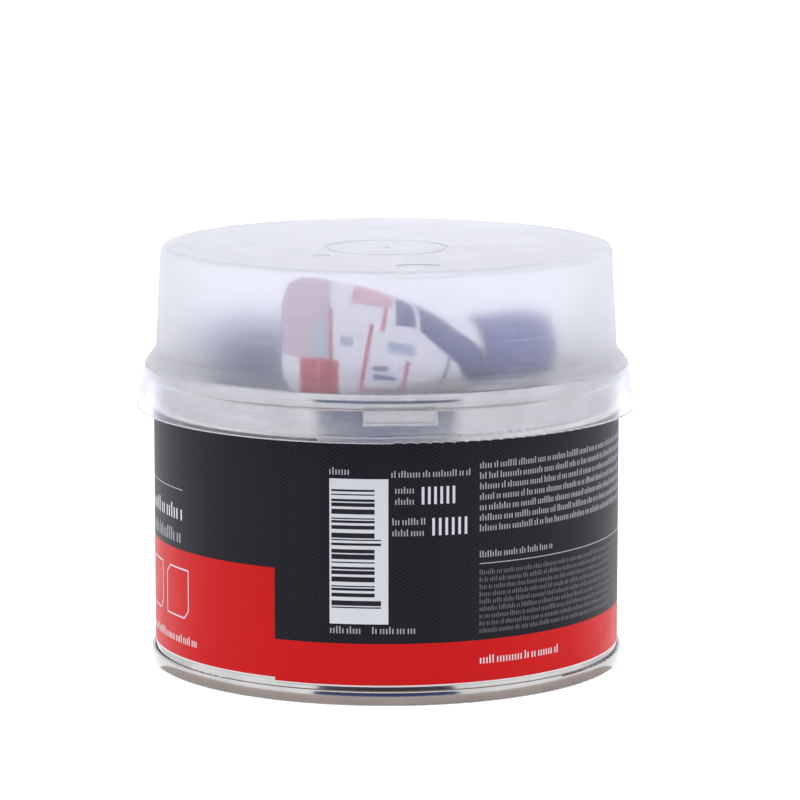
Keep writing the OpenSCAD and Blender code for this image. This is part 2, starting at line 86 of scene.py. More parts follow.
class Finish:
    """A material's node tree, with short calls that add nodes and feed its surface shader."""

    def __init__(self, name, **values):
        self.material = bpy.data.materials.new(name)
        self.material.use_nodes = True
        self.tree = self.material.node_tree
        self.surface = self.tree.nodes["Principled BSDF"]
        self.set(**values)

    def set(self, **values):
        """Sets or links inputs of the surface shader."""
        for key, value in values.items():
            self.feed(self.surface, key.replace("_", " "), value)

    def feed(self, node, key, value):
        """Links a socket to a node's input, or sets the input to a value."""
        names = {socket.name.lower(): socket for socket in node.inputs if socket.enabled}
        socket = names[key.lower()] if isinstance(key, str) else node.inputs[key]
        if isinstance(value, bpy.types.NodeSocket):
            self.tree.links.new(value, socket)
        else:
            socket.default_value = value

    def add(self, kind, feeds, **settings):
        node = self.tree.nodes.new(kind)
        for key, value in settings.items():
            setattr(node, key, value)
        for key, value in feeds.items():
            self.feed(node, key, value)
        return next(socket for socket in node.outputs if socket.enabled)

    def math(self, operation, first, second=0.0):
        return self.add("ShaderNodeMath", {0: first, 1: second}, operation=operation)

    def total(self, first, *others):
        for other in others:
            first = self.math("ADD", first, other)
        return first

    def product(self, first, *others):
        for other in others:
            first = self.math("MULTIPLY", first, other)
        return first

    def print_place(self):
        """The two coordinates of the print map: along and across, in millimetres."""
        spot = self.tree.nodes.new("ShaderNodeTexCoord").outputs["UV"]
        split = self.tree.nodes.new("ShaderNodeSeparateXYZ")
        self.feed(split, 0, spot)
        return split.outputs[0], split.outputs[1]

    def height(self):
        """Height above the object's origin, in metres."""
        split = self.tree.nodes.new("ShaderNodeSeparateXYZ")
        self.feed(split, 0, self.tree.nodes.new("ShaderNodeTexCoord").outputs["Object"])
        return split.outputs[2]

    def grain(self, size, stretch=(1, 1, 1), detail=4.0, roughness=0.6):
        """Noise with features of a size in millimetres, drawn out along axes by stretch."""
        place = self.tree.nodes.new("ShaderNodeTexCoord").outputs["Object"]
        scale = tuple(1 / (size * MM * s) for s in stretch)
        spot = self.add("ShaderNodeMapping", {"vector": place, "scale": scale})
        feeds = {"vector": spot, "scale": 1.0, "detail": detail, "roughness": roughness}
        return self.add("ShaderNodeTexNoise", feeds)

    def span(self, value, from_low, from_high, to_low, to_high):
        """Maps a value from one range to another, held at its ends."""
        return self.add("ShaderNodeMapRange", {0: value, 1: from_low, 2: from_high, 3: to_low, 4: to_high})

    def mix(self, share, first, second):
        feeds = {"factor": share, "a": first, "b": second}
        return self.add("ShaderNodeMix", feeds, data_type="RGBA")

    def bump(self, height, depth, under=None):
        """Raises the surface by a height times a depth in millimetres."""
        feeds = {"height": height, "distance": depth * MM, "strength": 1.0}
        if under is not None:
            feeds["normal"] = under
        return self.add("ShaderNodeBump", feeds)

    def band(self, value, low, high):
        """1 where a value lies between two limits."""
        return self.product(self.math("GREATER_THAN", value, low), self.math("LESS_THAN", value, high))


# The outer faces of the two seams are rolled slightly round: the height of the roundest place, how far
# the rounding reaches from it, and how strong it is
SEAM_ROLLS = ((1.5, 3.0, 0.09), (62.8, 1.8, 0.16))
TIN_BRIGHT = (0.44, 0.432, 0.42, 1)
TIN_DULL = (0.37, 0.362, 0.35, 1)


def tinplate_finish():
    """Bright rolled tinplate with rounded seams, faint rolling lines, dull patches and a fine grain."""
    finish = Finish("tinplate", metallic=1.0)
    z = finish.product(finish.height(), 1 / MM)
    rolls = []
    for middle, reach, strength in SEAM_ROLLS:
        away = finish.span(z, middle - reach, middle + reach, -reach, reach)
        rolls.append(finish.product(away, away, -strength))
    rolled = finish.bump(finish.total(*rolls), 1)
    patches = finish.grain(9, detail=5)
    lines = finish.grain(0.35, stretch=(30, 30, 1), detail=2)
    colour = finish.mix(finish.span(patches, 0.35, 0.7, 0, 1), TIN_BRIGHT, TIN_DULL)
    rough = finish.total(finish.span(patches, 0.3, 0.75, 0.08, 0.16), finish.span(lines, 0.4, 0.8, 0, 0.05))
    normal = finish.bump(lines, 0.004, under=finish.bump(finish.grain(0.18, detail=3), 0.003, under=rolled))
    finish.set(base_color=colour, roughness=rough, normal=normal)
    return finish.material


COMPOUND_DARK = (0.12, 0.11, 0.1, 1)
COMPOUND_PALE = (0.18, 0.17, 0.15, 1)


def compound_finish():
    """Dull rubbery sealing compound."""
    finish = Finish("sealing_compound", roughness=0.8)
    colour = finish.mix(finish.grain(0.4), COMPOUND_DARK, COMPOUND_PALE)
    finish.set(base_color=colour, normal=finish.bump(finish.grain(0.1), 0.01))
    return finish.material


# The overcap's skirt is clear, and its wall is frosted from between these heights up
FROST_LOW = 63.5
FROST_HIGH = 66
# The wall grows hazier up to this height
HAZE_HIGH = 86
FROST_TINT = (0.955, 0.96, 1, 1)
SCUFF_TINT = (0.965, 0.97, 1, 1)


def frosted_finish():
    """Frosted translucent plastic with fine scuffs round the wall and streaks down it."""
    finish = Finish("frosted_plastic", ior=1.4)
    cloud = finish.grain(14, detail=3)
    scuffs = finish.grain(0.3, stretch=(40, 40, 1), detail=3)
    streaks = finish.grain(0.45, stretch=(1, 1, 30), detail=3)
    haze = finish.total(finish.span(scuffs, 0.5, 0.75, 0, 0.07), finish.span(streaks, 0.5, 0.75, 0, 0.07),
                        finish.span(finish.height(), FROST_HIGH * MM, HAZE_HIGH * MM, 0, 0.13))
    clear = finish.math("SUBTRACT", 0.975, haze)
    frost = finish.span(finish.height(), FROST_LOW * MM, FROST_HIGH * MM, 0, 1)
    grown = finish.total(finish.span(cloud, 0.3, 0.7, 0, 0.05), finish.span(scuffs, 0.55, 0.8, 0, 0.15), 0.24)
    rough = finish.total(finish.product(frost, grown), 0.12)
    tint = finish.mix(finish.span(scuffs, 0.5, 0.8, 0, 1), FROST_TINT, SCUFF_TINT)
    normal = finish.bump(finish.product(scuffs, frost), 0.003)
    finish.set(base_color=tint, roughness=rough, normal=normal, transmission_weight=clear)
    return finish.material


CAP_DEEP = (0.003, 0.022, 0.24, 1)
CAP_PALE = (0.006, 0.032, 0.33, 1)


def cap_finish():
    """Dark moulded plastic of the tubes' caps."""
    finish = Finish("tube_cap_plastic", specular_ior_level=0.45)
    cloud = finish.grain(3)
    colour = finish.mix(cloud, CAP_DEEP, CAP_PALE)
    finish.set(base_color=colour, roughness=finish.span(cloud, 0.3, 0.7, 0.32, 0.46),
               normal=finish.bump(finish.grain(0.12), 0.006))
    return finish.material


HARDENER_COLOUR = (0.5, 0.035, 0.03)
FILLER_COLOUR = (0.5, 0.47, 0.36)


def paste_finish(name, colour, rough):
    """Smooth paste with a fine mottle and small pits."""
    finish = Finish(name, specular_ior_level=0.45)
    cloud = finish.grain(4, detail=5)
    deep = tuple(0.8 * part for part in colour) + (1,)
    finish.set(base_color=finish.mix(finish.span(cloud, 0.3, 0.7, 0, 1), colour + (1,), deep),
               roughness=finish.span(cloud, 0.3, 0.7, rough, rough + 0.12),
               normal=finish.bump(finish.grain(0.5), 0.03))
    return finish.material


# Gloss and colours of the label's paper and inks
INK_GLOSS = 0.1
PAPER_COLOUR = (0.66, 0.65, 0.64)
RED_COLOUR = (0.49, 0.005, 0.0055)
BLACK_COLOUR = (0.014, 0.0135, 0.018, 1)
DOT_COLOUR = (0.006, 0.006, 0.009, 1)
WHITE_COLOUR = (0.57, 0.58, 0.61)
GREY_COLOUR = (0.33, 0.33, 0.35)
DIM_COLOUR = (0.12, 0.12, 0.13)
BAR_COLOUR = (0.016, 0.016, 0.02)


def ink_finish(name, colour, rough=0.42):
    """One printed colour of the label, on the paper's fine tooth."""
    finish = Finish(name, specular_ior_level=INK_GLOSS)
    cloud = finish.grain(5, detail=3)
    deep = tuple(0.93 * part for part in colour) + (1,)
    finish.set(base_color=finish.mix(cloud, colour + (1,), deep),
               roughness=finish.span(cloud, 0.3, 0.7, rough, rough + 0.08),
               normal=finish.bump(finish.grain(0.25, detail=2), 0.002))
    return finish.material


# Pitch of the dots of the label's black ground, and the radius of a dot
DOT_PITCH = 0.85
DOT_RADIUS = 0.27
DOT_EDGE = 0.08


def dotted_black_finish():
    """The label's black ground, printed with a fine lattice of darker dots."""
    finish = Finish("label_black", specular_ior_level=INK_GLOSS)
    along, up = finish.print_place()
    pitches = (DOT_PITCH * math.sqrt(3), DOT_PITCH)
    lattices = []
    for shift in (0.0, 0.5):
        squares = []
        for place, pitch in zip((along, up), pitches):
            cell = finish.math("FRACT", finish.total(finish.math("DIVIDE", place, pitch), shift))
            away = finish.product(finish.math("SUBTRACT", cell, 0.5), pitch)
            squares.append(finish.product(away, away))
        lattices.append(finish.math("SQRT", finish.total(*squares)))
    away = finish.math("MINIMUM", *lattices)
    dot = finish.span(away, DOT_RADIUS - DOT_EDGE, DOT_RADIUS + DOT_EDGE, 1, 0)
    colour = finish.mix(dot, BLACK_COLOUR, DOT_COLOUR)
    rough = finish.span(dot, 0, 1, 0.44, 0.36)
    finish.set(base_color=colour, roughness=rough, normal=finish.bump(dot, 0.004))
    return finish.material


class Shape:
    """Points, faces, inks and print places of a mesh that is being made, in millimetres."""

    def __init__(self):
        self.points = []
        self.faces = []
        self.inks = []
        self.prints = []

    def sweep(self, rings, ink=0, print_at=None, loop=False):
        """Adds a closed skin through rings of points, each with as many points as the next.

        Ink is one for all faces, or gives one for a row and side. A loop joins the last ring to
        the first, and otherwise a face closes each end."""
        start = len(self.points)
        rows = len(rings)
        sides = len(rings[0])
        self.points += [Vector(point) * MM for ring in rings for point in ring]

        def add(spots, row, side):
            self.faces.append([start + (r % rows) * sides + s % sides for r, s in spots])
            self.inks.append(ink(row, side) if callable(ink) else ink)
            self.prints += [print_at(*spot) if print_at else (0, 0) for spot in spots]

        for row in range(rows if loop else rows - 1):
            for side in range(sides):
                add([(row, side), (row, side + 1), (row + 1, side + 1), (row + 1, side)], row, side)
        for row in () if loop else (0, rows - 1):
            add([(row, side) for side in range(sides)], row, 0)

    def make(self, name, finishes, body, smooth_angle=30):
        """Makes the object, turns its faces outwards and hangs it on its body."""
        mesh = bpy.data.meshes.new(name)
        mesh.from_pydata(self.points, [], self.faces)
        for finish in finishes:
            mesh.materials.append(finish)
        mesh.polygons.foreach_set("material_index", self.inks)
        layer = mesh.uv_layers.new(name="print")
        layer.data.foreach_set("uv", [part for pair in self.prints for part in pair])
        work = bmesh.new()
        work.from_mesh(mesh)
        bmesh.ops.recalc_face_normals(work, faces=work.faces)
        work.to_mesh(mesh)
        work.free()
        mesh.shade_smooth()
        mesh.set_sharp_from_angle(angle=math.radians(smooth_angle))
        piece = bpy.data.objects.new(name, mesh)
        bpy.context.scene.collection.objects.link(piece)
        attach(piece, body)
        return piece


# The label: one strip of paper, wrapped once round and lapped over itself. Its places are turns in
# degrees from its outer edge and heights above its lower edge
label_low, label_high = node_box("label")
LABEL_RADIUS = label_high.y
LABEL_LOW = label_low.z
LABEL_HEIGHT = label_high.z - label_low.z
LABEL_THICK = 0.1
LAP_EDGE = -27.35
LAP_ANGLE = 11.0
LAP_EASE = 4.0
LAP_GAP = 0.01
# How much higher the strip's end lies than its start
LABEL_RISE = 0.65
# Heights of the bare margin and of the low and tall red bands, and the turn where the tall one starts
WHITE_MARGIN = 0.3
RED_LOW = 9.0
RED_TALL = 23.2
RED_TALL_FROM = 195.0
STRIP_STEP = 1.0
# How far printed marks stand above the paper's face, and reach into it
INK_LIFT = 0.012
INK_SINK = 0.03
PAPER, BLACK, RED = range(3)
WHITE, GREY, DIM, BAR = range(4)


def strip_point(turn, height, depth):
    """A point of the label at a turn, a height, and a depth below the paper's face."""
    lifted = min(1.0, max(0.0, 1 - (turn - LAP_ANGLE) / LAP_EASE))
    radius = LABEL_RADIUS + (LABEL_THICK + LAP_GAP) * lifted - depth
    angle = math.radians(LAP_EDGE + turn)
    z = LABEL_LOW + height + LABEL_RISE * turn / 360
    return radius * math.sin(angle), -radius * math.cos(angle), z


def make_label():
    """The paper strip, with its red bands, its black ground and its bare lower margin."""
    steps = round((360 + LAP_ANGLE) / STRIP_STEP)
    turns = [i * STRIP_STEP for i in range(steps + 1)]
    levels = [0, WHITE_MARGIN, RED_LOW, RED_TALL, LABEL_HEIGHT]
    section = [(level, 0) for level in levels] + [(level, LABEL_THICK) for level in reversed(levels)]

    def ink(row, side):
        face_inks = [PAPER, RED, RED if turns[row] >= RED_TALL_FROM else BLACK, BLACK]
        return face_inks[side] if side < len(face_inks) else PAPER

    def print_at(row, side):
        return LABEL_RADIUS * math.radians(turns[row]), section[side % len(section)][0]

    shape = Shape()
    shape.sweep([[strip_point(turn, *spot) for spot in section] for turn in turns], ink, print_at)
    finishes = [ink_finish("label_paper", PAPER_COLOUR, 0.55), dotted_black_finish(),
                ink_finish("label_red", RED_COLOUR, 0.36)]
    piece = shape.make("printed_label", finishes, "tin", smooth_angle=20)
    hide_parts("label")


# Printed marks. Their places are arc lengths from the front, positive to the right, and heights
# above the tin's foot
PANEL_LEFT = -11.7
PANEL_RIGHT = 0.4
PARAGRAPH_LEFT = 19.6
PARAGRAPH_RIGHT = 75
SIDE_LEFT = -95
SIDE_RIGHT = -51.2
NOTE_TALL = 1.5
LINE_TALL = 1.4
LINE_STEP = 2.17
SMALL_TALL = 1.1
SMALL_STEP = 1.52
RULE_TALL = 0.2
# Ticks of a line, as shares of its height: their pitch, width and usual height, and how many stand together
TICK_PITCH = 0.42
TICK_WIDE = 0.18
TICK_USUAL = 0.72
TICK_GROUP = (2, 9)


def mark_point(arc, z, depth):
    """A point of a printed mark, at a depth below the paper's face."""
    turn = (math.degrees(arc / LABEL_RADIUS) - LAP_EDGE) % 360
    return strip_point(turn, z - LABEL_LOW, depth)


def block(shape, left, right, low, high, ink, lift=INK_LIFT):
    """A printed rectangle."""
    columns = max(1, math.ceil(right - left))
    arcs = [left + (right - left) * i / columns for i in range(columns + 1)]
    section = [(low, -lift), (high, -lift), (high, INK_SINK), (low, INK_SINK)]
    shape.sweep([[mark_point(arc, *spot) for spot in section] for arc in arcs], ink)


def tick_line(shape, rng, left, right, low, height, ink):
    """A line of fine upright ticks, in groups."""
    pitch = TICK_PITCH * height
    wide = TICK_WIDE * height
    at = left
    while at < right - wide:
        for _ in range(rng.randint(*TICK_GROUP)):
            if at < right - wide:
                tall = height * rng.choice((TICK_USUAL, TICK_USUAL, TICK_USUAL, 1.0))
                block(shape, at, at + wide, low, low + tall, ink)
            at += pitch
        at += 0.5 * pitch


ROW_TICK = 0.55
ROW_PITCH = 1.3


def tick_row(shape, left, right, low, height, ink):
    """A row of equal upright ticks, with one at each end."""
    count = round((right - left - ROW_TICK) / ROW_PITCH)
    for i in range(count + 1):
        at = left + (right - left - ROW_TICK) * i / count
        block(shape, at, at + ROW_TICK, low, low + height, ink)


def outline(shape, corner_list, width, ink):
    """A printed closed line through corners, which turn anticlockwise."""
    spots = []
    for first, second in zip(corner_list, corner_list[1:] + corner_list[:1]):
        first, second = Vector(first), Vector(second)
        steps = math.ceil((second - first).length)
        spots += [first.lerp(second, i / steps) for i in range(steps)]
    rings = []
    for before, here, after in zip(spots[-1:] + spots, spots, spots[1:] + spots[:1]):
        first = (here - before).normalized()
        second = (after - here).normalized()
        inward = Vector((-first.y - second.y, first.x + second.x))
        inner = here + inward * width / (1 + first.dot(second))
        rings.append([mark_point(*here, -INK_LIFT), mark_point(*inner, -INK_LIFT),
                      mark_point(*inner, INK_SINK), mark_point(*here, INK_SINK)])
    shape.sweep(rings, ink, loop=True)


BAR_MODULE = 0.26
# A pair of longer bars comes after this many bars
BAR_GROUP = 11
BAR_LONG = 1.3


def bar_rows(shape, left, right, low, high):
    """Level bars whose widths follow a plain repeating rhythm."""
    at = low
    i = 0
    while at < high:
        wide = BAR_MODULE * (1 + (3 * i) % 4)
        far = right + (BAR_LONG if i % BAR_GROUP < 2 else 0)
        block(shape, left, far, at, min(at + wide, high), BAR, 2 * INK_LIFT)
        at += wide + BAR_MODULE * (1 + (5 * i) % 3)
        i += 1


FRAME_SIZE = 10.6
FRAME_CUT = 1.8
FRAME_LINE = 0.3


def chamfered_frame(shape, left, low):
    """An outlined square with two cut corners."""
    right = left + FRAME_SIZE
    high = low + FRAME_SIZE
    corner_list = [(left, low), (right - FRAME_CUT, low), (right, low + FRAME_CUT), (right, high),
                   (left + FRAME_CUT, high), (left, high - FRAME_CUT)]
    outline(shape, corner_list, FRAME_LINE, WHITE)


def make_marks():
    """The label's printed marks: a bar panel, lines and rows of ticks, rules and frames."""
    shape = Shape()
    rng = random.Random(7)
    # Bar panel
    block(shape, PANEL_LEFT, PANEL_RIGHT, 17.0, 47.1, WHITE)
    bar_rows(shape, -11.3, -2.4, 20.3, 44.9)
    tick_line(shape, rng, PANEL_LEFT, -7.0, 47.9, NOTE_TALL, GREY)
    tick_line(shape, rng, -11.6, -5.2, 15.0, NOTE_TALL, GREY)
    tick_line(shape, rng, -2.9, 6.3, 15.0, NOTE_TALL, GREY)
    # Rows of tall ticks, each with two short lines beside it
    tick_line(shape, rng, 1.0, 17.6, 47.4, LINE_TALL, GREY)
    for left, right, row_left, row_right, low in ((1.8, 6.0, 7.2, 14.2, 41.8), (1.2, 8.2, 9.4, 16.8, 35.3)):
        tick_line(shape, rng, left, right, low + 2.3, LINE_TALL, GREY)
        tick_line(shape, rng, left, right, low, LINE_TALL, GREY)
        tick_row(shape, row_left, row_right, low, 3.6, WHITE)
    # Two paragraphs, with a line and a rule between them
    for i in range(7):
        tick_line(shape, rng, PARAGRAPH_LEFT, PARAGRAPH_RIGHT, 48.6 - LINE_STEP * i, LINE_TALL, GREY)
    tick_line(shape, rng, PARAGRAPH_LEFT, 38.0, 30.1, LINE_TALL, GREY)
    block(shape, PARAGRAPH_LEFT, PARAGRAPH_RIGHT, 28.75, 28.75 + RULE_TALL, GREY)
    for i in range(9):
        tick_line(shape, rng, PARAGRAPH_LEFT, PARAGRAPH_RIGHT, 26.5 - SMALL_STEP * i, SMALL_TALL, DIM)
    tick_line(shape, rng, 19.7, 39.8, 7.9, 1.7, WHITE)
    # Panel on the left side
    block(shape, SIDE_LEFT, SIDE_RIGHT, 39.8, 39.8 + RULE_TALL, GREY)
    tick_line(shape, rng, SIDE_LEFT, SIDE_RIGHT, 33.4, 3.2, WHITE)
    tick_line(shape, rng, SIDE_LEFT, SIDE_RIGHT, 28.5, 2.8, GREY)
    for left in (-59.4, -72.8, -86.2):
        chamfered_frame(shape, left, 12.6)
    tick_line(shape, rng, SIDE_LEFT, -45.8, 7.2, 1.8, WHITE)
    finishes = [ink_finish("ink_white", WHITE_COLOUR), ink_finish("ink_grey", GREY_COLOUR),
                ink_finish("ink_dim", DIM_COLOUR), ink_finish("ink_bar", BAR_COLOUR)]
    shape.make("label_marks", finishes, "tin", smooth_angle=20)


# Tubes: a threaded neck, a shoulder and a round body that flattens towards a folded end. Places run
# along a tube from its shoulder, at 0, to the end of its fold
TUBE_RADIUS = 8.0
TUBE_LENGTH = 40.0
TUBE_ROUND = 6.0
TUBE_SHOULDER = 2.5
TUBE_WALL = 0.25
PASTE_GAP = 0.1
NECK_RADIUS = 4.5
NECK_RIM = 0.8
NECK_LENGTH = 7.0
NECK_EDGE = 0.3
NECK_STEP = 0.25
THREAD_PITCH = 2.0
THREAD_DEPTH = 0.35
NOZZLE_RADIUS = 2.0
FOLD_LENGTH = 4.5
FOLD_THICK = 1.4
FOLD_EDGE = 0.5
FOLD_STEPS = 60
CORNER_LENGTH = 4.0
CORNER_WIDTH = 7.0
FOLD_GROOVE = 0.16
FOLD_GROOVE_PITCH = 1.5
FOLD_GROOVE_SHARP = 7
FLAT_THICK = 0.9
FLAT_FROM = TUBE_LENGTH - FOLD_LENGTH
FLAT_POWER = 1.8
FLAT_STEP = 0.3
BODY_STEP = 0.6
GIRTH = 2 * math.pi * TUBE_RADIUS
GIRTH_POINTS = 112
# Dents and creases of a tube's skin: their depths, and their sizes along the tube and round it
DENT_DEPTH = 0.32
DENT_SIZE = (7, 6)
CREASE_DEPTH = 0.16
CREASE_SIZE = (9, 13)
CREASE_SHARP = 9


def ramp(value, low, high):
    """Smooth rise from 0 at one value to 1 at another."""
    share = min(1.0, max(0.0, (value - low) / (high - low)))
    return share * share * (3 - 2 * share)


def round_share(s):
    """How round a tube is at a place: 1 where it starts to flatten and 0 at its fold."""
    return ((FLAT_FROM - min(s, FLAT_FROM)) / (FLAT_FROM - TUBE_ROUND)) ** FLAT_POWER


def half_at(s):
    """Half a tube's thickness at a place along it."""
    if s < 0:
        return TUBE_RADIUS + (TUBE_RADIUS - NECK_RADIUS - NECK_RIM) * s / TUBE_SHOULDER
    if s <= TUBE_ROUND:
        return TUBE_RADIUS
    if s < FLAT_FROM:
        return FLAT_THICK / 2 + (TUBE_RADIUS - FLAT_THICK / 2) * round_share(s)
    return FOLD_THICK / 2


def side_at(s):
    """Half the straight side of a tube's section, which keeps its girth as it flattens."""
    return 0.0 if s <= TUBE_ROUND else math.pi / 2 * (TUBE_RADIUS - half_at(s))


def dents(seed):
    """Gives how far a tube's skin is pressed in: broad dents and narrow creases in its soft part."""
    def depth(s, share):
        girth = share * GIRTH
        soft = ramp(s, TUBE_ROUND - 2, TUBE_ROUND + 8) * ramp(s, FLAT_FROM - 0.5, FLAT_FROM - 7)
        broad = noise.noise(Vector((s / DENT_SIZE[0], girth / DENT_SIZE[1], seed)))
        crease = abs(noise.noise(Vector((s / CREASE_SIZE[0], girth / CREASE_SIZE[1], seed + 5))))
        return soft * (DENT_DEPTH * max(0.0, broad) + CREASE_DEPTH * max(0.0, 1 - CREASE_SHARP * crease))

    return depth


def thread(s, share):
    """How deep the neck's thread is cut at a place and a share of the girth."""
    tip = -TUBE_SHOULDER - NECK_LENGTH
    deep = THREAD_DEPTH * ramp(s, tip + NECK_EDGE, tip + 1) * ramp(s, -TUBE_SHOULDER, -TUBE_SHOULDER - 1)
    return deep * max(0.0, math.cos(2 * math.pi * (s / THREAD_PITCH - share)))


def slot_spot(share, half, side):
    """A place at a share of a slot-shaped section's girth, and the way out there: across and along."""
    arc = math.pi * half
    girth = abs(share) * (2 * arc + 4 * side)
    if girth <= side:
        spot, out = (half, girth), (1.0, 0.0)
    elif girth <= side + arc:
        out = (math.cos((girth - side) / half), math.sin((girth - side) / half))
        spot = (half * out[0], side + half * out[1])
    else:
        spot, out = (-half, 2 * side + arc - girth), (-1.0, 0.0)
    sign = math.copysign(1, share)
    return Vector((spot[0], sign * spot[1])), Vector((out[0], sign * out[1]))


SHARES = [i / GIRTH_POINTS - 0.5 for i in range(GIRTH_POINTS + 1)]


class FrontTube:
    """The front tube's line: straight along a chord, then round beside the overcap's wall, on edge."""

    body = "front_tube"
    seed = 3.0

    def __init__(self):
        joint = joints["front_cap_turn"]
        self.start = Vector(joint["pos_m"]) / MM
        self.along = Vector(joint["axis"])
        self.low = node_box("front_tube")[0].z
        turn = math.atan2(self.along.y, self.along.x)
        chord_radius = self.start.dot(Vector((math.sin(turn), -math.cos(turn), 0)))
        chord_half = TUBE_ROUND - self.start.dot(self.along)
        self.curve_radius = math.hypot(chord_radius, chord_half)
        self.curve_turn = turn - math.atan(chord_half / chord_radius)
        self.fold_radius = math.hypot(chord_radius + TUBE_RADIUS, chord_half) - FOLD_THICK / 2

    def line(self, s):
        if s <= TUBE_ROUND:
            spot = self.start - s * self.along
            return Vector((spot.x, spot.y, 0))
        radius = self.fold_radius + (self.curve_radius - self.fold_radius) * round_share(s)
        angle = self.curve_turn - (s - TUBE_ROUND) / self.fold_radius
        return Vector((radius * math.sin(angle), -radius * math.cos(angle), 0))

    def frame(self, s):
        """Middle of the section at a place, the way across it and the way along it."""
        step = (self.line(s + 0.1) - self.line(s - 0.1)).normalized()
        up = TUBE_RADIUS if s < 0 else half_at(s) + side_at(s)
        middle = self.line(s) + Vector((0, 0, self.low + up))
        return middle, Vector((-step.y, step.x, 0)), Vector((0, 0, 1))


class RearTube:
    """The rear tube's line: straight, and lying flat in the lid."""

    body = "rear_tube"
    seed = 11.0

    def __init__(self):
        joint = joints["rear_cap_turn"]
        self.start = Vector(joint["pos_m"]) / MM
        self.along = Vector(joint["axis"])

    def frame(self, s):
        """Middle of the section at a place, the way across it and the way along it."""
        drop = 0.0 if s < 0 else TUBE_RADIUS - half_at(s)
        return self.start - s * self.along - Vector((0, 0, drop)), Vector((0, 0, 1)), Vector((0, 1, 0))


def tube_ring(tube, s, half, side, cut=None):
    """Points of a tube's section at a place, pressed in by what cut says for the place and share of girth."""
    middle, across, along = tube.frame(s)
    ring = []
    for share in SHARES[:-1]:
        spot, out = slot_spot(share, half, side)
        if cut:
            spot = spot - out * cut(s, share)
        ring.append(middle + across * spot.x + along * spot.y)
    return ring


def body_places():
    """Places along a tube's body, close together at its shoulder's corner and before its fold."""
    steps = round((FLAT_FROM - FLAT_STEP) / BODY_STEP)
    return [-0.15, 0.1, 0.3] + [i * (FLAT_FROM - FLAT_STEP) / steps for i in range(1, steps + 1)]


def inner_rows(tube, inset):
    """Rows of a skin that lies an inset inside a tube, from near its shoulder to its flat end."""
    rows = [(-TUBE_SHOULDER + 2 * inset, half_at(-TUBE_SHOULDER + 2 * inset) - inset)]
    rows += [(s, half_at(s) - inset) for s in body_places() if half_at(s) > 2.5 * inset]
    return [(s, tube_ring(tube, s, half, side_at(s), dents(tube.seed))) for s, half in rows]


def neck_rows(tube):
    """Rows of the nozzle's bore, its end and the threaded neck, from the inside out to the shoulder."""
    tip = -TUBE_SHOULDER - NECK_LENGTH
    rows = [(s, tube_ring(tube, s, NOZZLE_RADIUS, 0)) for s in (-TUBE_SHOULDER + TUBE_WALL, tip)]
    rows.append((tip, tube_ring(tube, tip, NECK_RADIUS - NECK_EDGE, 0)))
    steps = round((NECK_LENGTH - NECK_EDGE) / NECK_STEP)
    for i in range(steps + 1):
        s = tip + NECK_EDGE + i * (NECK_LENGTH - NECK_EDGE) / steps
        rows.append((s, tube_ring(tube, s, NECK_RADIUS, 0, thread)))
    rows.append((-TUBE_SHOULDER, tube_ring(tube, -TUBE_SHOULDER, NECK_RADIUS + NECK_RIM, 0)))
    return rows


def fold_rows(tube):
    """Rows of the folded end, with grooves pressed across it, a rounded edge and rounded corners."""
    rows = []
    for i in range(FOLD_STEPS + 1):
        s = FLAT_FROM + FOLD_LENGTH * math.sin(math.pi / 2 * i / FOLD_STEPS)
        into = (s - FLAT_FROM) % FOLD_GROOVE_PITCH / FOLD_GROOVE_PITCH - 0.5
        groove = FOLD_GROOVE * max(0.0, 1 - abs(into) * FOLD_GROOVE_SHARP)
        over = max(0.0, s - (TUBE_LENGTH - FOLD_EDGE))
        edge = FOLD_EDGE - math.sqrt(max(0.0, FOLD_EDGE ** 2 - over ** 2))
        past = max(0.0, s - TUBE_LENGTH + CORNER_LENGTH) / CORNER_LENGTH
        side = side_at(s) - CORNER_WIDTH * (1 - math.sqrt(1 - min(1.0, past ** 2)))
        rows.append((s, tube_ring(tube, s, FOLD_THICK / 2 - groove - edge, side)))
    return rows


def make_tube(tube, finish):
    """A tube's skin, from the inside of its flat end out through the nozzle and back to its fold."""
    rows = list(reversed(inner_rows(tube, TUBE_WALL))) + neck_rows(tube)
    rows += [(s, tube_ring(tube, s, half_at(s), side_at(s), dents(tube.seed))) for s in body_places()]
    rows += fold_rows(tube)

    def print_at(row, side):
        share = SHARES[side]
        across = share if abs(share) <= 0.25 else math.copysign(0.5 - abs(share), share)
        return rows[row][0], across * GIRTH

    shape = Shape()
    shape.sweep([ring for _, ring in rows], print_at=print_at)
    piece = shape.make(f"{tube.body}_skin", [finish], tube.body, smooth_angle=40)
    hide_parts(tube.body)


def make_tube_paste(tube, finish):
    """The hardener in a tube."""
    shape = Shape()
    shape.sweep([ring for _, ring in inner_rows(tube, TUBE_WALL + PASTE_GAP)])
    piece = shape.make(f"{tube.body}_hardener", [finish], tube.body, smooth_angle=50)
    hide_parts(f"{tube.body}_paste")


# Colours of the tubes' lacquer and print
LACQUER_WHITE = (0.88, 0.85, 0.89, 1)
LACQUER_SHADE = (0.82, 0.79, 0.83, 1)
TUBE_RED = (0.56, 0.03, 0.09, 1)
TUBE_DEEP_RED = (0.35, 0.003, 0.015, 1)
TUBE_PALE_PINK = (0.58, 0.41, 0.5, 1)
TUBE_PINK = (0.72, 0.34, 0.44, 1)
TUBE_NAVY = (0.003, 0.02, 0.19, 1)
TUBE_BLUE = (0.08, 0.12, 0.3, 1)
TUBE_SLATE = (0.2, 0.24, 0.36, 1)
TUBE_GREY_BLUE = (0.4, 0.46, 0.58, 1)
# How the slanted lines lean, and how steeply the slanted band falls
PRINT_LEAN = 0.16
BAND_FALL = 0.9


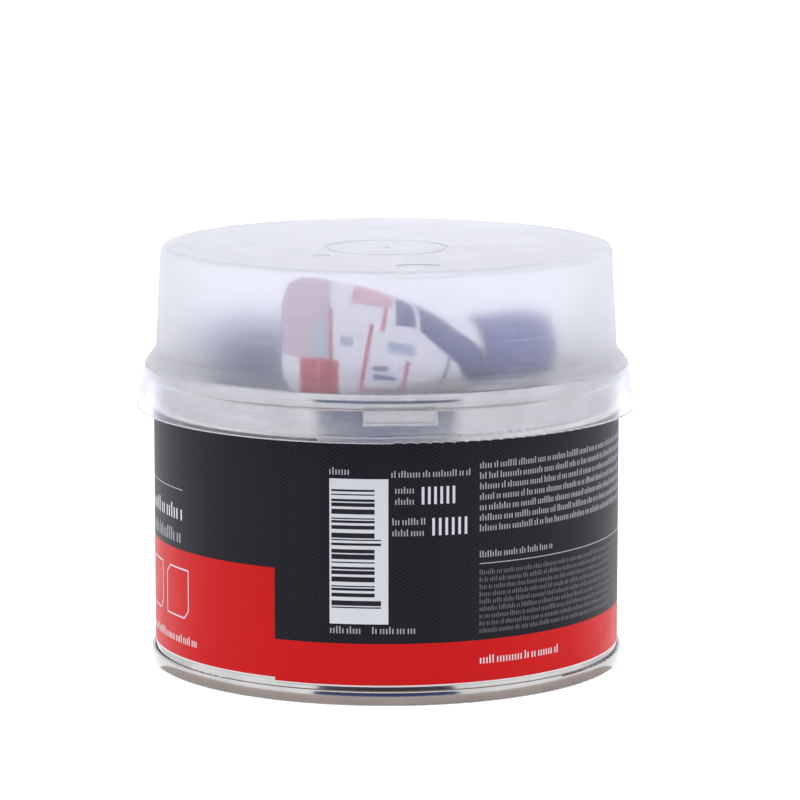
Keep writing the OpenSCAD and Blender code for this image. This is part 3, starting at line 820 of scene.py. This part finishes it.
def lacquer_finish():
    """White lacquer with printed blocks and lines, and a slanted navy band along the top edge by the
    shoulder.
    """
    finish = Finish("tube_lacquer", specular_ior_level=0.5)
    along, across = finish.print_place()
    slant = finish.total(along, finish.product(across, PRINT_LEAN))
    fall = finish.math("SUBTRACT", across, finish.product(along, BAND_FALL))
    # Each print, and the navy band along the top edge, has a colour and the limits of its place
    prints = [
        (TUBE_PALE_PINK, [(along, 29.5, TUBE_LENGTH + 1), (across, -4.2, 13)]),
        (TUBE_PINK, [(slant, 19, 26.6), (across, 8, 13)]),
        (TUBE_RED, [(along, 27.8, 35.8), (across, -13, -4.2)]),
        (TUBE_DEEP_RED, [(along, 29.0, 29.7), (across, -11, 6.5)]),
        (TUBE_RED, [(slant, 21.7, 22.5), (across, -9.6, 4.2)]),
        (TUBE_RED, [(slant, 19.7, 20.5), (across, 3, 8)]),
        (TUBE_RED, [(slant, 14.3, 15), (across, -9.6, -2.4)]),
        (TUBE_RED, [(slant, 14.3, 22.5), (across, -9.9, -9.3)]),
        (TUBE_BLUE, [(along, 17, 21.3), (across, -7, -6)]),
        (TUBE_BLUE, [(along, 18.4, 21.3), (across, -5.2, -4.2)]),
        (TUBE_GREY_BLUE, [(along, 13.9, 18.6), (across, -1.2, 1.2)]),
        (TUBE_GREY_BLUE, [(along, 25, 27.6), (across, -1, 1)]),
        (TUBE_GREY_BLUE, [(along, 30.2, 33), (across, -3.8, 3.2)]),
        (TUBE_NAVY, [(along, 13.7, 17.1), (across, 4.6, 10.8)]),
        # Navy band that falls slanting along the tube's top edge from the shoulder, darker than the lacquer
        (TUBE_NAVY, [(fall, -7.5, 1.4), (along, -1, 12.9)]),
        (TUBE_SLATE, [(slant, 7.8, 8.4), (across, -6.6, 0.8)]),
    ]
    colour = finish.mix(finish.grain(6), LACQUER_WHITE, LACQUER_SHADE)
    for shade, limits in prints:
        area = finish.product(1.0, *(finish.band(*limit) for limit in limits))
        colour = finish.mix(area, colour, shade)
    finish.set(base_color=colour, roughness=finish.span(finish.grain(2), 0.3, 0.7, 0.28, 0.42),
               normal=finish.bump(finish.grain(0.8), 0.02))
    return finish.material


# The filler's top is drawn into a spiral furrow
SWIRL_PITCH = 11.0
SWIRL_DEPTH = 1.3
SWIRL_STEPS = 60
SWIRL_POINTS = 160
PASTE_EDGE = 0.6
CENTRE_RADIUS = 0.4


def make_filler(finish):
    """The filler, filled to under the mouth, with a smeared rim and a swirled top."""
    low, high = node_box("filler_paste")
    radius = high.x
    rim = high.z - PASTE_EDGE
    angles = [2 * math.pi * i / SWIRL_POINTS for i in range(SWIRL_POINTS)]

    def top(r, angle):
        spot = Vector((r * math.cos(angle), r * math.sin(angle), 0))
        furrow = 0.5 + 0.5 * math.cos(2 * math.pi * r / SWIRL_PITCH - angle)
        rough = 0.5 + 0.5 * noise.noise(spot / 8)
        calm = ramp(r, radius, radius - 6) * ramp(r, 0, 4)
        return rim + PASTE_EDGE * calm - calm * (SWIRL_DEPTH * furrow ** 2 + 0.5 * rough)

    profile = [(CENTRE_RADIUS, low.z), (radius - PASTE_EDGE, low.z), (radius, low.z + PASTE_EDGE),
               (radius, rim - PASTE_EDGE)]
    rings = [[(r * math.cos(angle), r * math.sin(angle), z) for angle in angles] for r, z in profile]
    for i in range(SWIRL_STEPS):
        r = radius - PASTE_EDGE - (radius - PASTE_EDGE - CENTRE_RADIUS) * i / (SWIRL_STEPS - 1)
        rings.append([(r * math.cos(angle), r * math.sin(angle), top(r, angle)) for angle in angles])
    shape = Shape()
    shape.sweep(rings)
    piece = shape.make("filler_swirl", [finish], "tin", smooth_angle=60)
    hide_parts("filler_paste")


# Stage: soft light from all round and a floor that glows evenly
WORLD_COLOUR = (0.95, 0.962, 1, 1)
WORLD_LIGHT = 1.64
FLOOR_HALF = 8000
FLOOR_COLOUR = (0.97, 0.975, 1, 1)
FLOOR_GLOW = 1.45
# A beige mat before the tin, a blue cloth further out, a dark screen beyond it, and a pale cove and
# backdrop behind the tin are seen by the pieces, not by the camera. Rows are a distance in front, half
# a width and a height
MAT_ROWS = [(15, 300, 0.3), (330, 300, 0.3)]
MAT_COLOUR = (0.75, 0.67, 0.61, 1)
CLOTH_ROWS = [(340, 205, 0.3), (1000, 690, 240)]
CLOTH_COLOUR = (0.012, 0.05, 0.19, 1)
SCREEN_ROWS = [(1000, 680, 0.3), (1000, 680, 700)]
SCREEN_COLOUR = (0.04, 0.04, 0.06, 1)
COVE_ROWS = [(-130, 500, 0.3), (-1200, 3000, 0.3)]
COVE_GLOW = 1.1
BACKDROP_ROWS = [(-1200, 3000, 0.3), (-1200, 3000, 2400)]
BACKDROP_GLOW = 1.2
PALE_COLOUR = (0.94, 0.945, 1, 1)
DULL = 0.9


def dull_finish(name, colour):
    return Finish(name, base_color=colour, roughness=DULL)


def glowing_finish(name, colour, glow):
    return Finish(name, base_color=(0, 0, 0, 1), emission_color=colour, emission_strength=glow)


def make_stage():
    """Plain pale floor, soft light all round, and sheets for the tin to reflect."""
    scene = bpy.context.scene
    scene.view_settings.view_transform = "Standard"
    scene.view_settings.look = "None"
    world = bpy.data.worlds.new("studio")
    world.use_nodes = True
    world.node_tree.nodes["Background"].inputs["Color"].default_value = WORLD_COLOUR
    world.node_tree.nodes["Background"].inputs["Strength"].default_value = WORLD_LIGHT
    scene.world = world
    floor = glowing_finish("floor", FLOOR_COLOUR, FLOOR_GLOW)
    floor.set(roughness=DULL)
    stage_sheet(floor, [(-FLOOR_HALF, FLOOR_HALF, 0), (FLOOR_HALF, FLOOR_HALF, 0)])
    # Each sheet's finish and rows, whether it lights dull surfaces, and whether it shows through plastic
    sheets = [
        (dull_finish("mat", MAT_COLOUR), MAT_ROWS, False, False),
        (dull_finish("cloth", CLOTH_COLOUR), CLOTH_ROWS, True, True),
        (dull_finish("screen", SCREEN_COLOUR), SCREEN_ROWS, True, False),
        (glowing_finish("cove", PALE_COLOUR, COVE_GLOW), COVE_ROWS, True, True),
        (glowing_finish("backdrop", PALE_COLOUR, BACKDROP_GLOW), BACKDROP_ROWS, True, True),
    ]
    for finish, rows, lights, through in sheets:
        sheet = stage_sheet(finish, rows)
        sheet.visible_camera = False
        sheet.visible_shadow = False
        sheet.visible_diffuse = lights
        sheet.visible_transmission = through


def stage_sheet(finish, rows):
    """A sheet of the stage between two rows, each a distance in front, half a width and a height."""
    name = finish.material.name
    mesh = bpy.data.meshes.new(name)
    spots = [Vector((side * half, -front, z)) * MM for front, half, z in rows for side in (-1, 1)]
    mesh.from_pydata(spots, [], [(0, 1, 3, 2)])
    mesh.materials.append(finish.material)
    sheet = bpy.data.objects.new(name, mesh)
    bpy.context.scene.collection.objects.link(sheet)
    return sheet


def dress(material, *names):
    """Gives CAD nodes their finish."""
    for name in names:
        for slot in nodes[name].material_slots:
            slot.material = material


make_camera()
make_stage()
dress(tinplate_finish(), "can_body", "base_end", "top_ring", "lever_lid")
dress(compound_finish(), "base_seam_compound", "top_seam_compound")
dress(frosted_finish(), "overcap")
dress(cap_finish(), "front_tube_cap", "rear_tube_cap")
make_label()
make_marks()
lacquer = lacquer_finish()
hardener = paste_finish("hardener", HARDENER_COLOUR, 0.35)
for tube in (FrontTube(), RearTube()):
    make_tube(tube, lacquer)
    make_tube_paste(tube, hardener)
make_filler(paste_finish("filler", FILLER_COLOUR, 0.3))
